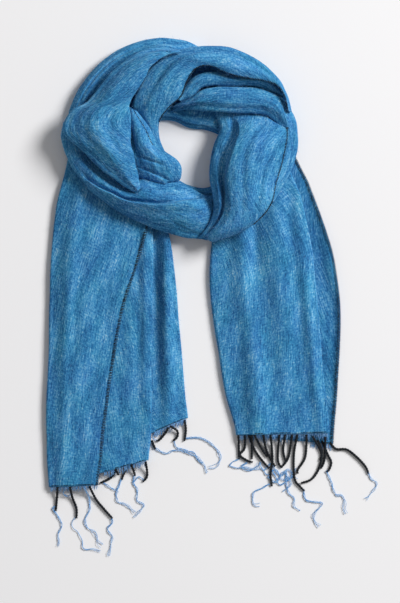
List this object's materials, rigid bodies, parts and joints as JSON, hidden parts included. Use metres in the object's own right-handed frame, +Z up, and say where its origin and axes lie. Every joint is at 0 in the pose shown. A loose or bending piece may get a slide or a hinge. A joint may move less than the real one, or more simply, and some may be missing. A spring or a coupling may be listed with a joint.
{
  "type": "wound shawl with fringed tails, laid flat",
  "caption": "Wide woven shawl wound into an open loop and laid flat, with two folded tails that end in a knotted fringe.",
  "frame": {"origin": "on the resting surface, under the middle of the whole outline, fringe included", "axes": "+Z up from the resting surface, +Y from the fringed tails to the loop, +X to the right tail"},
  "size_m": [0.4926, 0.7786, 0.0676],
  "materials": {
    "cloth": "matte brushed wool-blend cloth with a mixed blue heather",
    "cord": "matte twisted yarn"
  },
  "bodies": {
    "root": {"second_turn_left": "cloth", "left_inner_fold": "cloth", "second_turn_top": "cloth", "first_turn_back": "cloth", "under_fold": "cloth", "first_turn_side": "cloth", "front_turn_right": "cloth", "front_turn_bottom": "cloth", "left_tail": "cloth", "right_tail": "cloth", "hidden_turns": "cloth", "fringe_left_front": "cord", "fringe_left_middle": "cord", "fringe_left_back": "cord", "fringe_right_front": "cord", "fringe_right_back": "cord"}
  },
  "joints": []
}
